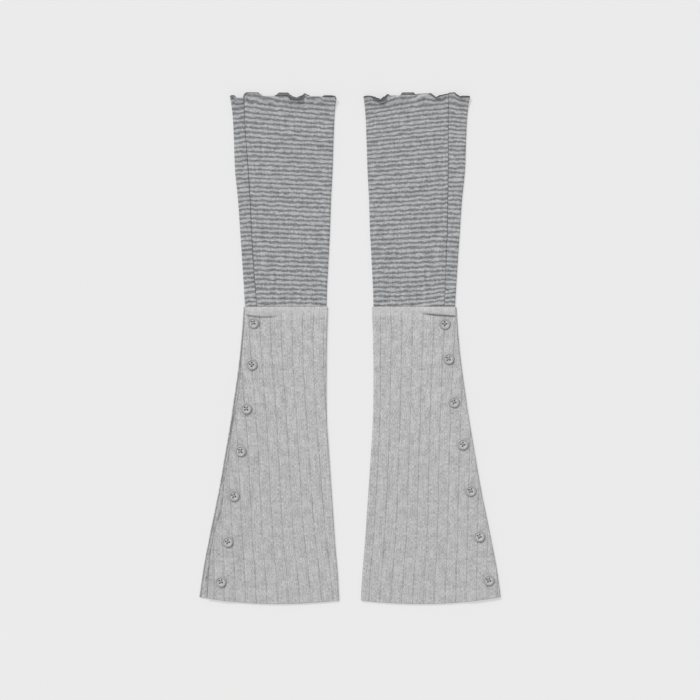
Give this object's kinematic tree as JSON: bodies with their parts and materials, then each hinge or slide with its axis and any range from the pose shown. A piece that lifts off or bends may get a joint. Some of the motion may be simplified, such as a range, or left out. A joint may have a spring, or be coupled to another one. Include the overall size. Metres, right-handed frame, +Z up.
{
  "type": "pair of leg warmers",
  "caption": "Flared leg warmers laid flat side by side: striped jersey upper tubes with ruffled tops, wide-rib lower panels with a side placket closed by a row of buttons.",
  "frame": {"origin": "middle of the pair's outline on the surface that it lies on", "axes": "+X across the pair towards the right-hand leg warmer, +Y along the legs towards the ruffled tops, +Z up off the surface"},
  "size_m": [0.3108, 0.5269, 0.0089],
  "materials": {
    "striped_jersey": "fine horizontal stripes in two greys, matt jersey",
    "heather_rib": "light heather grey wide rib knit, matt",
    "button_resin": "satin grey four-hole resin buttons"
  },
  "bodies": {
    "root": {"striped_tube_left": "striped_jersey", "striped_tube_right": "striped_jersey", "rib_panel_left": "heather_rib", "rib_panel_right": "heather_rib", "button_left_1": "button_resin", "button_left_2": "button_resin", "button_left_3": "button_resin", "button_left_4": "button_resin", "button_left_5": "button_resin", "button_left_6": "button_resin", "button_left_7": "button_resin", "button_right_1": "button_resin", "button_right_2": "button_resin", "button_right_3": "button_resin", "button_right_4": "button_resin", "button_right_5": "button_resin", "button_right_6": "button_resin", "button_right_7": "button_resin"}
  },
  "joints": []
}
